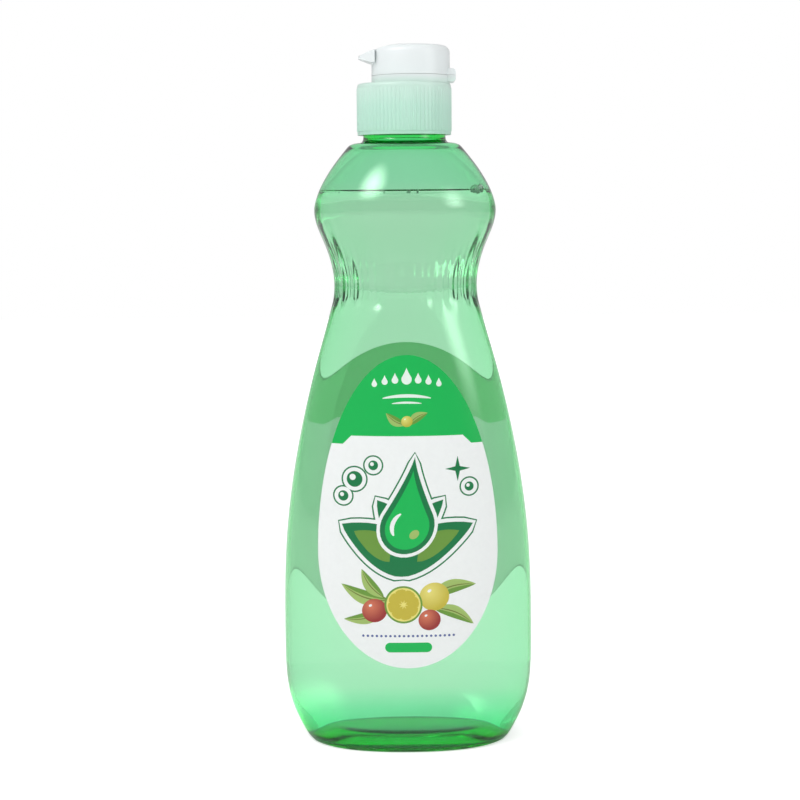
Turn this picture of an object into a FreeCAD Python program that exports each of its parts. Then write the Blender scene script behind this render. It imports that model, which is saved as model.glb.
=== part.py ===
import FreeCAD, Part
import math
import os

# Dish soap bottle: a clear tinted blown bottle, its filling, a screw cap with a flip lid, and two labels.
# Millimetres, +Z up, origin at the centre of the base. The front label faces -Y, the lid hinges at +X.

# Bottle outline, from the foot up: each rise is above the size before it
seat_half_width = 32.9
seat_half_depth = 21.0
heel_corner = 1.5
heel_rise = 8.6
heel_half_width = 39.4
heel_half_depth = 25.6
belly_rise = 22.9
belly_half_width = 42.75
belly_half_depth = 28.2
body_rise = 40.5
body_half_width = 41.6
body_half_depth = 27.8
taper_rise = 35.0
taper_half_width = 36.3
taper_half_depth = 25.2
hip_rise = 31.0
hip_half_width = 28.4
hip_half_depth = 22.8
waist_rise = 18.5
waist_half_width = 24.4
waist_half_depth = 21.4
flare_rise = 13.5
flare_half_width = 27.1
flare_half_depth = 23.4
grip_rise = 11.8
grip_half_width = 30.7
grip_half_depth = 26.2
shoulder_rise = 11.7
shoulder_half_width = 26.4
shoulder_half_depth = 23.6
ledge_rise = 8.5
ledge_half_width = 20.0
ledge_half_depth = 19.2
body_squareness = 2.3
round_squareness = 2.0

# Walls and foot of the blown bottle
body_wall = 0.8
heel_wall = 1.7
heel_wall_run = 16.0
base_wall = 1.8
seat_width = 3.4
punt_height = 5.2
punt_steps = ((1.0, 0.0), (0.97, 0.15), (0.88, 0.55), (0.8, 0.9), (0.72, 1.0), (0.35, 1.0))
gate_radius = 3.0

# Grooves round the waist
groove_count = 24
groove_depth = 1.0
groove_below_waist = 7.5
groove_blunt_run = 3.5
groove_taper_run = 25.0
groove_taper_power = 1.2
groove_above_waist = 27.5

# Neck finish
collar_rise = 2.3
collar_radius = 13.8
collar_length = 4.1
collar_foot = 0.8
collar_foot_flare = 0.2
ledge_round = 4.6
ledge_corner_drop = 0.3
neck_length = 17.0
neck_root_radius = 12.5
neck_bore_radius = 10.8
neck_bore_lip = 1.4
thread_height = 1.2
thread_pitch = 4.233
thread_turns = 1.5
thread_top_below_rim = 2.55
thread_base_width = 2.3
thread_crest_width = 1.1
thread_flank_gap = 0.2
thread_root_sink = 0.3

# Filling, its level above the widest part of the grip
fill_above_grip = 7.0
fill_gap = 0.05

# Sealing washer
washer_thickness = 1.0
washer_overhang = 1.0
washer_bore_gap = 0.2

# Screw cap
skirt_wall = 1.5
skirt_thread_gap = 0.5
skirt_length = 17.0
deck_thickness = 1.6
deck_edge_round = 0.9
rib_count = 72
rib_height = 0.15
rib_floor_rise = 0.05
rib_land_share = 0.55
rib_bottom_margin = 1.2
rib_top_margin = 1.6
cap_thread_engagement = 0.65
lid_seat_rise = 2.5
lid_seat_radius = 13.1
lid_seat_offset = 2.25
cap_hollow_radius = 9.0
cap_hollow_roof = 1.5
nozzle_base_radius = 4.2
nozzle_tip_radius = 2.9
nozzle_height = 5.4
nozzle_bore_radius = 1.6
nozzle_mouth_chamfer = 0.5

# Flip lid
lid_seam_gap = 0.1
lid_height = 9.9
lid_wall = 1.2
lid_rim_round = 2.4
lid_flat_start = -0.8
bill_overhang = 4.4
bill_radius = 7.5
bill_tip_drop = 3.4
bill_tip_thickness = 0.8
bill_under_fall = 1.4
slope_tip_pull = 0.4
slope_tip_share = 0.35
slope_flat_pull = 0.3
plug_gap = 0.25
plug_tip_radius = 0.9
plug_engagement = 1.0

# Film hinge at the back of the cap
hinge_reach = 1.85
hinge_half_width = 5.0
hinge_half_height = 2.1
hinge_edge_round = 1.1

# Labels
label_thickness = 0.15
label_adhesive = 0.05
label_bottom = 31.0
label_lower_height = 38.5
label_upper_height = 65.5
label_half_width = 29.9

# Fineness of the outlines
poles_per_groove = 4
punt_poles = 32
row_spacing = 8.0
groove_row_spacing = 1.75
heel_row_rise = 2.4
egg_points = 24
tiny = 1e-6

# Heights that follow from the sizes above
heel_height = heel_rise
belly_height = heel_height + belly_rise
body_height = belly_height + body_rise
taper_height = body_height + taper_rise
hip_height = taper_height + hip_rise
waist_height = hip_height + waist_rise
flare_height = waist_height + flare_rise
grip_height = flare_height + grip_rise
shoulder_height = grip_height + shoulder_rise
ledge_height = shoulder_height + ledge_rise
collar_height = ledge_height + collar_rise
rim_height = collar_height + neck_length
groove_bottom = waist_height - groove_below_waist
groove_top = waist_height + groove_above_waist
fill_height = grip_height + fill_above_grip
deck_underside = rim_height + washer_thickness
deck_top = deck_underside + deck_thickness
skirt_bottom = deck_top - skirt_length
seam_height = deck_top + lid_seat_rise
lid_bottom = seam_height + lid_seam_gap
lid_top = seam_height + lid_height

# Radii that follow from the sizes above
thread_radius = neck_root_radius + thread_height
skirt_inner_radius = thread_radius + skirt_thread_gap
skirt_radius = skirt_inner_radius + skirt_wall

UP = FreeCAD.Vector(0, 0, 1)
ALONG_Y = FreeCAD.Vector(0, 1, 0)


def point(x, y, z):
    return FreeCAD.Vector(x, y, z)


def cylinder(radius, bottom, top, x=0.0):
    """Upright cylinder between two heights."""
    return Part.makeCylinder(radius, top - bottom, point(x, 0, bottom))


def cone(bottom_radius, top_radius, bottom, top):
    """Upright cone between two heights."""
    return Part.makeCone(bottom_radius, top_radius, top - bottom, point(0, 0, bottom))


def spread(start, end, spacing):
    """Evenly spaced values from start to end, both included."""
    steps = max(1, round(abs(end - start) / spacing))
    return [start + (end - start) * i / steps for i in range(steps + 1)]


def body_profile():
    """Curve through the outline: its parameter is the height, its point the half sizes and squareness."""
    hip_squareness = (body_squareness + round_squareness) / 2
    stations = [
        (0.0, seat_half_width + heel_corner, seat_half_depth + heel_corner, body_squareness),
        (heel_height, heel_half_width, heel_half_depth, body_squareness),
        (belly_height, belly_half_width, belly_half_depth, body_squareness),
        (body_height, body_half_width, body_half_depth, body_squareness),
        (taper_height, taper_half_width, taper_half_depth, body_squareness),
        (hip_height, hip_half_width, hip_half_depth, hip_squareness),
        (waist_height, waist_half_width, waist_half_depth, round_squareness),
        (flare_height, flare_half_width, flare_half_depth, round_squareness),
        (grip_height, grip_half_width, grip_half_depth, round_squareness),
        (shoulder_height, shoulder_half_width, shoulder_half_depth, round_squareness),
        (ledge_height, ledge_half_width, ledge_half_depth, round_squareness),
    ]
    curve = Part.BSplineCurve()
    curve.interpolate(
        Points=[point(width, depth, square) for height, width, depth, square in stations],
        Parameters=[height for height, width, depth, square in stations],
    )
    return curve


profile = body_profile()


def groove_share(height):
    """Depth of a groove at a height, as a share of its full depth: blunt below, drawn to a point above."""
    if height <= groove_bottom or height >= groove_top:
        return 0.0
    if height < groove_bottom + groove_blunt_run:
        return math.sin(0.5 * math.pi * (height - groove_bottom) / groove_blunt_run)
    return min(1.0, (groove_top - height) / groove_taper_run) ** groove_taper_power


def ring(half_width, half_depth, squareness, height, share=0.0, poles=groove_count * poles_per_groove):
    """Points of one level outline, pulled inwards across the middle of each groove."""
    points = []
    for i in range(poles):
        turn = 2 * math.pi * i / poles
        cosine = math.cos(turn)
        sine = math.sin(turn)
        swell = (abs(cosine) ** squareness + abs(sine) ** squareness) ** (-1 / squareness)
        across = math.fmod(turn * groove_count / math.pi, 2.0) - 1.0
        pull = groove_depth * max(0.0, share - across * across)
        x = (half_width - pull) * cosine * swell
        y = (half_depth - pull) * sine * swell
        points.append(point(x, y, height))
    return points


def wall_ring(height, inset, heel_share):
    """Level outline of the body at a height, set in by a wall that may thicken towards the heel."""
    size, slope = profile.getD1(height)
    inset += heel_share * (heel_wall - body_wall) * max(0.0, 1 - height / heel_wall_run)
    half_width = size.x - inset * math.hypot(1.0, slope.x)
    half_depth = size.y - inset * math.hypot(1.0, slope.y)
    return ring(half_width, half_depth, size.z, height, groove_share(height))


def skin_solid(rows, cuts=()):
    """Solid inside a smooth surface over level outlines, closed by flat ends, split at given rows."""
    around = len(rows[0])
    spans = len(rows) - 3
    surface = Part.BSplineSurface()
    surface.buildFromPolesMultsKnots(
        rows,
        [4] + [1] * (spans - 1) + [4],
        [1] * (around + 1),
        list(range(spans + 1)),
        list(range(around + 1)),
        False,
        True,
        3,
        3,
    )
    limits = [0] + [cut for cut in cuts if 0 < cut < spans] + [spans]
    faces = []
    for start, end in zip(limits, limits[1:]):
        zone = surface.copy()
        zone.segment(start, end, 0, around)
        faces.append(zone.toShape())
    for face, pick in ((faces[0], min), (faces[-1], max)):
        level_edges = [edge for edge in face.Edges if edge.BoundBox.ZLength < tiny]
        end_edge = pick(level_edges, key=lambda edge: edge.BoundBox.ZMin)
        faces.append(Part.Face(Part.Wire(end_edge)))
    skin = Part.makeCompound(faces)
    skin.sewShape()
    solid = Part.Solid(skin.Shells[0])
    if solid.Volume < 0:
        solid.reverse()
    return solid


def body_rows(inset, floor, top, heel_share=0.0):
    """Level outlines of the body from its floor to a height, and where its grooved zone starts and ends."""
    levels = spread(floor + heel_row_rise, groove_bottom, row_spacing)[:-1]
    first_groove_row = len(levels) + 2
    levels += spread(groove_bottom, groove_top, groove_row_spacing)
    last_groove_row = len(levels) + 1
    levels += spread(groove_top, ledge_height, row_spacing / 2)[1:]
    levels = [level for level in levels if level < top - groove_row_spacing / 2] + [top]
    corner = heel_corner - inset - heel_share * (heel_wall - body_wall)
    rows = [
        ring(seat_half_width - inset, seat_half_depth - inset, body_squareness, floor),
        ring(seat_half_width + corner, seat_half_depth + corner, body_squareness, floor),
    ]
    rows += [wall_ring(level, inset, heel_share) for level in levels]
    return rows, (first_groove_row - 2, last_groove_row)


def round_rows(places):
    """Level circles through (radius, height) places."""
    return [ring(radius, radius, round_squareness, height) for radius, height in places]


def punt(grow):
    """Hollow pushed up into the base, grown by a wall."""
    half_width = seat_half_width - seat_width + grow
    half_depth = seat_half_depth - seat_width + grow
    rows = []
    for share_out, share_up in punt_steps:
        height = punt_height * share_up + grow
        rows.append(
            ring(half_width * share_out, half_depth * share_out, body_squareness, height, 0.0, punt_poles)
        )
    rows.append(ring(gate_radius, gate_radius, round_squareness, punt_height + grow, 0.0, punt_poles))
    return skin_solid(rows)


def thread(inner_radius, outer_radius, base_inside, first_height):
    """Ridge along a right-hand helix, its wide side sunk into the wall that carries it."""
    base_half = thread_base_width / 2
    crest_half = thread_crest_width / 2
    inner_half, outer_half = (base_half, crest_half) if base_inside else (crest_half, base_half)
    corners = [
        point(inner_radius, 0, first_height - inner_half),
        point(outer_radius, 0, first_height - outer_half),
        point(outer_radius, 0, first_height + outer_half),
        point(inner_radius, 0, first_height + inner_half),
    ]
    section = Part.makePolygon(corners + corners[:1])
    helix = Part.makeHelix(thread_pitch, thread_pitch * thread_turns, inner_radius)
    helix.translate(point(0, 0, first_height))
    return Part.Wire(helix).makePipeShell([section], True, True)


thread_rise = thread_pitch * thread_turns
neck_thread_start = rim_height - thread_top_below_rim - thread_rise
thread_slope = (thread_base_width - thread_crest_width) / thread_height
cap_thread_drop = thread_crest_width + cap_thread_engagement * thread_slope / 2 + thread_flank_gap


def make_bottle():
    rows, zones = body_rows(0.0, 0.0, ledge_height)
    rows += round_rows(
        [
            (collar_radius + ledge_round, collar_height - ledge_corner_drop),
            (collar_radius + ledge_round / 2, collar_height),
            (collar_radius + collar_foot, collar_height),
            (collar_radius + collar_foot_flare, collar_height + collar_foot),
            (collar_radius, collar_height + 2 * collar_foot),
            (collar_radius, collar_height + collar_length),
        ]
    )
    outside = skin_solid(rows, zones)
    outside = outside.cut(punt(0.0))
    outside = outside.fuse(cylinder(neck_root_radius, ledge_height, rim_height))
    outside = outside.fuse(
        thread(neck_root_radius - thread_root_sink, thread_radius, True, neck_thread_start)
    )
    rows, zones = body_rows(body_wall, base_wall, ledge_height, 1.0)
    roof = collar_height - body_wall
    rows += round_rows(
        [
            (collar_radius + ledge_round - body_wall, roof - ledge_corner_drop),
            (collar_radius + ledge_round / 2, roof),
            (neck_bore_radius + neck_bore_lip, roof),
        ]
    )
    inside = skin_solid(rows, zones).cut(punt(base_wall))
    inside = inside.fuse(cylinder(neck_bore_radius, ledge_height, rim_height))
    return outside.cut(inside)


def make_detergent():
    inset = body_wall + fill_gap
    floor = base_wall + fill_gap
    rows, zones = body_rows(inset, floor, fill_height, 1.0)
    return skin_solid(rows, zones).cut(punt(floor))


def make_neck_seal():
    washer = cylinder(neck_root_radius + washer_overhang, rim_height, deck_underside)
    return washer.cut(cylinder(neck_bore_radius + washer_bore_gap, rim_height, deck_underside))


def rib_sleeve():
    """Ribbed outside of the skirt as an upright prism."""
    bottom = skirt_bottom + rib_bottom_margin
    top = deck_top - rib_top_margin
    floor_radius = skirt_radius + rib_floor_rise
    step = 2 * math.pi / rib_count
    corners = []
    for i in range(rib_count):
        for radius, share in (
            (floor_radius, 0.0),
            (floor_radius + rib_height, (1 - rib_land_share) / 2),
            (floor_radius + rib_height, (1 + rib_land_share) / 2),
        ):
            turn = (i + share) * step
            corners.append(point(radius * math.cos(turn), radius * math.sin(turn), bottom))
    section = Part.Face(Part.makePolygon(corners + corners[:1]))
    return section.extrude(UP * (top - bottom))


def hinge_half(bottom, top):
    """One half of the film hinge, between two heights, reaching out to the thin line it bends at."""
    near = lid_seat_offset + lid_seat_radius - lid_wall
    far = lid_seat_offset + lid_seat_radius + hinge_reach
    corner = point(near, -hinge_half_width, bottom)
    half = Part.makeBox(far - near, 2 * hinge_half_width, top - bottom, corner)
    outer = [edge for edge in half.Edges if edge.BoundBox.XMin > far - tiny and edge.BoundBox.YLength > tiny]
    rounded = [edge for edge in outer if abs(edge.BoundBox.ZMin - seam_height) > hinge_half_height / 2]
    return half.makeFillet(hinge_edge_round, rounded)


def make_cap_body():
    core = cylinder(skirt_radius, skirt_bottom, deck_top)
    top_edge = [edge for edge in core.Edges if edge.BoundBox.ZMin > deck_top - tiny]
    core = core.makeFillet(deck_edge_round, top_edge)
    core = core.fuse(rib_sleeve())
    core = core.fuse(cylinder(lid_seat_radius, deck_underside, seam_height, lid_seat_offset))
    core = core.fuse(hinge_half(seam_height - hinge_half_height, seam_height))
    core = core.fuse(cone(nozzle_base_radius, nozzle_tip_radius, seam_height, seam_height + nozzle_height))
    core = core.cut(cylinder(skirt_inner_radius, skirt_bottom, deck_underside))
    hollow_roof = seam_height - cap_hollow_roof
    core = core.cut(cylinder(cap_hollow_radius, deck_underside, hollow_roof))
    nozzle_top = seam_height + nozzle_height
    core = core.cut(cylinder(nozzle_bore_radius, hollow_roof, nozzle_top))
    mouth_radius = nozzle_bore_radius + nozzle_mouth_chamfer
    core = core.cut(cone(nozzle_bore_radius, mouth_radius, nozzle_top - nozzle_mouth_chamfer, nozzle_top))
    ridge = thread(
        thread_radius - cap_thread_engagement,
        skirt_inner_radius + thread_root_sink,
        False,
        neck_thread_start - cap_thread_drop,
    )
    return core.fuse(ridge)


def lid_slab(inset, bottom):
    """Side view of the lid, flat behind and falling to the bill, as a slab set in by a wall."""
    top = lid_top - inset
    back = lid_seat_offset + lid_seat_radius + hinge_reach
    tip = lid_seat_offset - lid_seat_radius - bill_overhang
    fall = lid_flat_start - tip
    slope = Part.BezierCurve()
    slope.setPoles(
        [
            point(tip, 0, top - bill_tip_drop),
            point(tip + fall * slope_tip_pull, 0, top - bill_tip_drop * slope_tip_share),
            point(lid_flat_start - fall * slope_flat_pull, 0, top),
            point(lid_flat_start, 0, top),
        ]
    )
    rest = Part.makePolygon(
        [
            point(lid_flat_start, 0, top),
            point(back, 0, top),
            point(back, 0, bottom),
            point(tip, 0, bottom),
            point(tip, 0, top - bill_tip_drop),
        ]
    )
    side = Part.Face(Part.Wire([slope.toShape()] + rest.Edges))
    side.translate(point(0, -lid_seat_radius, 0))
    return side.extrude(ALONG_Y * (2 * lid_seat_radius))


def lid_barrel(inset, bottom):
    """Round wall of the lid with its rounded top rim, set in by a wall."""
    barrel = cylinder(lid_seat_radius - inset, bottom, lid_top - inset, lid_seat_offset)
    rim = [edge for edge in barrel.Edges if edge.BoundBox.ZMin > lid_top - inset - tiny]
    return barrel.makeFillet(lid_rim_round - inset, rim)


def lid_bill():
    """Thumb bill: a rounded tongue under the falling top, thin at its tip."""
    tip = lid_seat_offset - lid_seat_radius - bill_overhang
    root = tip + bill_overhang
    tip_bottom = lid_top - bill_tip_drop - bill_tip_thickness
    root_bottom = tip_bottom - bill_under_fall
    corners = [
        point(tip, -bill_radius, tip_bottom),
        point(root, -bill_radius, root_bottom),
        point(root + lid_wall, -bill_radius, root_bottom),
        point(root + lid_wall, -bill_radius, lid_top),
        point(tip, -bill_radius, lid_top),
    ]
    wedge = Part.Face(Part.makePolygon(corners + corners[:1])).extrude(ALONG_Y * (2 * bill_radius))
    return wedge.common(cylinder(bill_radius, lid_bottom, lid_top, tip + bill_radius))


def make_flip_lid():
    lid = lid_slab(0.0, lid_bottom).common(lid_barrel(0.0, lid_bottom).fuse(lid_bill()))
    below = lid_bottom - lid_wall
    lid = lid.cut(lid_slab(lid_wall, below).common(lid_barrel(lid_wall, below)))
    lid = lid.fuse(hinge_half(lid_bottom, lid_bottom + hinge_half_height))
    nozzle_top = seam_height + nozzle_height
    plug_radius = nozzle_bore_radius - plug_gap
    plug = cylinder(plug_radius, nozzle_top, lid_top - lid_wall / 2)
    plug = plug.fuse(cone(plug_tip_radius, plug_radius, nozzle_top - plug_engagement, nozzle_top))
    return lid.fuse(plug)


def egg_face():
    """Label outline, a blunt egg with its point up, as an upright face in the middle of the bottle."""
    centre = label_bottom + label_lower_height
    corners = []
    for i in range(egg_points):
        turn = 2 * math.pi * i / egg_points
        rise = label_upper_height if math.cos(turn) > 0 else label_lower_height
        corners.append(point(label_half_width * math.sin(turn), 0, centre + rise * math.cos(turn)))
    outline = Part.BSplineCurve()
    outline.interpolate(Points=corners, PeriodicFlag=True)
    return Part.Face(Part.Wire(outline.toShape()))


def make_label(side):
    """Thin skin on the body, on the front (-1) or the rear (1)."""
    prism = egg_face().extrude(ALONG_Y * (side * 2 * belly_half_depth))
    rows, zones = body_rows(-label_adhesive - label_thickness, 0.0, ledge_height)
    outside = skin_solid(rows, zones)
    rows, zones = body_rows(-label_adhesive, 0.0, ledge_height)
    return prism.common(outside).cut(skin_solid(rows, zones))


os.makedirs("parts", exist_ok=True)
nodes = {
    "bottle": make_bottle(),
    "detergent": make_detergent(),
    "neck_seal": make_neck_seal(),
    "cap_body": make_cap_body(),
    "flip_lid": make_flip_lid(),
    "front_label": make_label(-1),
    "rear_label": make_label(1),
}
for name, shape in nodes.items():
    solid = shape.Solids[0] if len(shape.Solids) == 1 else shape
    solid.exportStep("parts/" + name + ".step")
    print(name, "solids", len(shape.Solids), "volume", round(shape.Volume, 1), "valid", shape.isValid())
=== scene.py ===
import math

import bpy
import numpy as np
from mathutils import Euler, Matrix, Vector
from mathutils.bvhtree import BVHTree
from mathutils.geometry import delaunay_2d_cdt


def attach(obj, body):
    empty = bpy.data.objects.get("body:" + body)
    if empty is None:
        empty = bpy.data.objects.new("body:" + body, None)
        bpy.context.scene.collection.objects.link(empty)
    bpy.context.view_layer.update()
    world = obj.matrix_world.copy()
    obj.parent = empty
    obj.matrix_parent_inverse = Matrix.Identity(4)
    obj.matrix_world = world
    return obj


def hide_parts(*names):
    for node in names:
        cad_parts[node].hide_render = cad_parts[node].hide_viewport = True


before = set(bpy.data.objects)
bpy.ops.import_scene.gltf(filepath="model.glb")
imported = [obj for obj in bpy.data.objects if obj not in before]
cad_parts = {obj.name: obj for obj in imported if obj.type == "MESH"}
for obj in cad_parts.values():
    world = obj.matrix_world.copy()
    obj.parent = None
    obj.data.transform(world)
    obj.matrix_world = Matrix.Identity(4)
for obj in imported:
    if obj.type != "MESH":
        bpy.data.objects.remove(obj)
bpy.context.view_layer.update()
scene = bpy.context.scene
mm = 0.001  # the form below is written in millimetres, the meshes are in metres

# The form of the blown bottle, shared by its wall, the filling and the labels
bottleForm = {
    "stations": (  # height, half width, half depth, squareness of the level outline
        (0.0, 34.4, 22.5, 2.3),
        (8.6, 39.4, 25.6, 2.3),
        (31.5, 42.75, 28.2, 2.3),
        (72.0, 41.6, 27.8, 2.3),
        (107.0, 36.3, 25.2, 2.3),
        (138.0, 28.4, 22.8, 2.15),
        (156.5, 24.4, 21.4, 2.0),
        (170.0, 27.1, 23.4, 2.0),
        (181.8, 30.7, 26.2, 2.0),
        (193.5, 26.4, 23.6, 2.0),
        (202.0, 20.0, 19.2, 2.0),
    ),
    "seat": (32.9, 21.0),  # outer edge of the ring it stands on
    "heelCorner": 1.5,
    "seatWidth": 3.4,
    "puntHeight": 5.2,  # hollow pushed up into the base
    "puntSteps": ((0.35, 1.0), (0.72, 1.0), (0.8, 0.9), (0.88, 0.55), (0.97, 0.15), (1.0, 0.0)),
    "gateRadius": 3.0,
    "grooves": 24,
    "grooveDepth": 1.0,
    "grooveBottom": 149.0,
    "grooveTop": 184.0,
    "bluntRun": 3.5,
    "taperRun": 25.0,
    "taperPower": 1.2,
    "wall": 0.8,
    "baseWall": 1.8,
    "heelWall": 1.7,  # the wall is thicker where it meets the base
    "heelWallRun": 16.0,
    "rowStep": 8.0,  # spacing of the rows that shape the surface
    "grooveRowStep": 1.75,
    "firstRow": 2.4,
    "polesPerGroove": 4,
    "aroundPerPole": 2,  # points of the mesh for each pole
    "meshStep": 1.75,  # longest step of the mesh up the side
}


def curveThrough(places, values):  # smooth curve through the values, as a function that gives value and slope
    x = np.array(places, float)
    y = np.array(values, float)
    step = np.diff(x)[:, None]
    rise = np.diff(y, axis=0) / step
    count = len(x)
    system = np.eye(count)
    right = np.zeros_like(y)
    right[0] = rise[0] - (rise[1] - rise[0]) * step[0] / (step[0] + step[1])
    right[-1] = rise[-1] + (rise[-1] - rise[-2]) * step[-1] / (step[-1] + step[-2])
    for i in range(1, count - 1):
        system[i, i - 1 : i + 2] = (step[i, 0], 2 * (step[i - 1, 0] + step[i, 0]), step[i - 1, 0])
        right[i] = 3 * (step[i] * rise[i - 1] + step[i - 1] * rise[i])
    slopes = np.linalg.solve(system, right)

    def at(place):
        i = int(np.clip(np.searchsorted(x, place) - 1, 0, count - 2))
        run = step[i, 0]
        t = (place - x[i]) / run
        value = (
            (2 * t**3 - 3 * t**2 + 1) * y[i]
            + (t**3 - 2 * t**2 + t) * run * slopes[i]
            + (3 * t**2 - 2 * t**3) * y[i + 1]
            + (t**3 - t**2) * run * slopes[i + 1]
        )
        slope = (
            (6 * t**2 - 6 * t) * (y[i] - y[i + 1]) / run
            + (3 * t**2 - 4 * t + 1) * slopes[i]
            + (3 * t**2 - 2 * t) * slopes[i + 1]
        )
        return value, slope

    return at


bodyProfile = curveThrough([s[0] for s in bottleForm["stations"]], [s[1:] for s in bottleForm["stations"]])
poleTurns = np.arange(bottleForm["grooves"] * bottleForm["polesPerGroove"])
poleTurns = poleTurns * 2 * math.pi / len(poleTurns)


def grooveShare(height):  # how deep a groove is at a height: blunt below, drawn to a point above
    form = bottleForm
    if not form["grooveBottom"] < height < form["grooveTop"]:
        return 0.0
    if height < form["grooveBottom"] + form["bluntRun"]:
        return math.sin(0.5 * math.pi * (height - form["grooveBottom"]) / form["bluntRun"])
    return min(1.0, (form["grooveTop"] - height) / form["taperRun"]) ** form["taperPower"]


def levelRing(halfWidth, halfDepth, squareness, height, share=0.0):
    cosine, sine = np.cos(poleTurns), np.sin(poleTurns)
    swell = (np.abs(cosine) ** squareness + np.abs(sine) ** squareness) ** (-1 / squareness)
    across = np.mod(poleTurns * bottleForm["grooves"] / math.pi, 2.0) - 1.0
    pull = bottleForm["grooveDepth"] * np.maximum(0.0, share - across**2)
    x = (halfWidth - pull) * cosine * swell
    y = (halfDepth - pull) * sine * swell
    return np.stack([x, y, np.full_like(x, height)], axis=1)


def bodyRing(height, inset, heelShare=0.0):
    form = bottleForm
    size, slope = bodyProfile(height)
    inset += heelShare * (form["heelWall"] - form["wall"]) * max(0.0, 1 - height / form["heelWallRun"])
    halfWidth = size[0] - inset * math.hypot(1.0, slope[0])
    halfDepth = size[1] - inset * math.hypot(1.0, slope[1])
    return levelRing(halfWidth, halfDepth, size[2], height, grooveShare(height))


def spread(start, end, spacing):
    return list(np.linspace(start, end, max(1, round(abs(end - start) / spacing)) + 1))


def bodyLevels(floor, top):
    form = bottleForm
    ledge = form["stations"][-1][0]
    levels = spread(floor + form["firstRow"], form["grooveBottom"], form["rowStep"])[:-1]
    levels += spread(form["grooveBottom"], form["grooveTop"], form["grooveRowStep"])
    levels += spread(form["grooveTop"], ledge, form["rowStep"] / 2)[1:]
    return [level for level in levels if level < top - form["grooveRowStep"] / 2] + [top]


def bodyRows(inset, floor, top, heelShare=0.0):  # pole rows from the middle of the base up to a height
    form = bottleForm
    seatX, seatY = form["seat"]
    puntX = seatX - form["seatWidth"] + floor
    puntY = seatY - form["seatWidth"] + floor
    crown = form["puntHeight"] + floor
    square = form["stations"][0][3]
    rows = [levelRing(0.0, 0.0, 2.0, crown), levelRing(form["gateRadius"], form["gateRadius"], 2.0, crown)]
    for out, up in form["puntSteps"]:
        rows.append(levelRing(puntX * out, puntY * out, square, form["puntHeight"] * up + floor))
    rows.append(levelRing((puntX + seatX - inset) / 2, (puntY + seatY - inset) / 2, square, floor))
    rows.append(levelRing(seatX - inset, seatY - inset, square, floor))
    corner = form["heelCorner"] - inset - heelShare * (form["heelWall"] - form["wall"])
    rows.append(levelRing(seatX + corner, seatY + corner, square, floor))
    rows += [bodyRing(level, inset, heelShare) for level in bodyLevels(floor, top)]
    return rows


def roundRows(places):
    return [levelRing(radius, radius, 2.0, height) for radius, height in places]


def cubicWeights(knots, places):  # share of each pole at each place along a cubic
    weights = [((places >= low) & (places < high)).astype(float) for low, high in zip(knots, knots[1:])]
    for degree in (1, 2, 3):
        raised = []
        for i in range(len(weights) - 1):
            value = np.zeros_like(places)
            if knots[i + degree] > knots[i]:
                value += (places - knots[i]) / (knots[i + degree] - knots[i]) * weights[i]
            if knots[i + degree + 1] > knots[i + 1]:
                fall = knots[i + degree + 1] - places
                value += fall / (knots[i + degree + 1] - knots[i + 1]) * weights[i + 1]
            raised.append(value)
        weights = raised
    return np.array(weights).T


def sweepRows(rows, longest):  # smooth surface over the pole rows, as rings of points
    poles = np.array(rows)
    fractions = np.arange(bottleForm["aroundPerPole"]) / bottleForm["aroundPerPole"]
    parts = []
    for f in fractions:
        shares = ((1 - f) ** 3, 3 * f**3 - 6 * f**2 + 4, -3 * f**3 + 3 * f**2 + 3 * f + 1, f**3)
        parts.append(sum(s * np.roll(poles, 1 - k, axis=1) for k, s in enumerate(shares)) / 6)
    around = np.stack(parts, axis=2).reshape(len(poles), -1, 3)
    spans = len(rows) - 3
    knots = [0] * 4 + list(range(1, spans)) + [spans] * 4
    places = []
    for k in range(spans):
        length = np.linalg.norm(poles[k + 1 : k + 3, 0] - poles[k : k + 2, 0], axis=1).max()
        steps = max(2, math.ceil(length / longest))
        places += [k + i / steps for i in range(steps)]
    places.append(spans - 1e-9)
    return np.tensordot(cubicWeights(knots, np.array(places)), around, axes=1)


def ringsToMesh(name, rings):  # closed skin over rings of points whose first and last rings are single points
    count = rings.shape[1]
    inner = rings[1:-1].reshape(-1, 3)
    points = np.vstack([rings[0].mean(0), inner, rings[-1].mean(0)]) * mm
    last = len(points) - 1
    faces = []
    for j in range(count):
        k = (j + 1) % count
        faces.append((0, 1 + k, 1 + j))
        faces.append((last, last - count + j, last - count + k))
    for i in range(len(rings) - 3):
        low = 1 + i * count
        for j in range(count):
            k = (j + 1) % count
            faces.append((low + j, low + k, low + count + k, low + count + j))
    mesh = bpy.data.meshes.new(name)
    mesh.from_pydata(points.tolist(), [], faces)
    mesh.polygons.foreach_set("use_smooth", [True] * len(mesh.polygons))
    mesh.update()
    return mesh


def addPiece(name, mesh, material=None):
    piece = bpy.data.objects.new(name, mesh)
    scene.collection.objects.link(piece)
    if material is not None:
        mesh.materials.clear()
        mesh.materials.append(material)
    return piece


# Materials
def newMaterial(name):
    material = bpy.data.materials.new(name)
    material.use_nodes = True
    nodes = material.node_tree.nodes
    return material, nodes, material.node_tree.links, nodes["Principled BSDF"]


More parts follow.
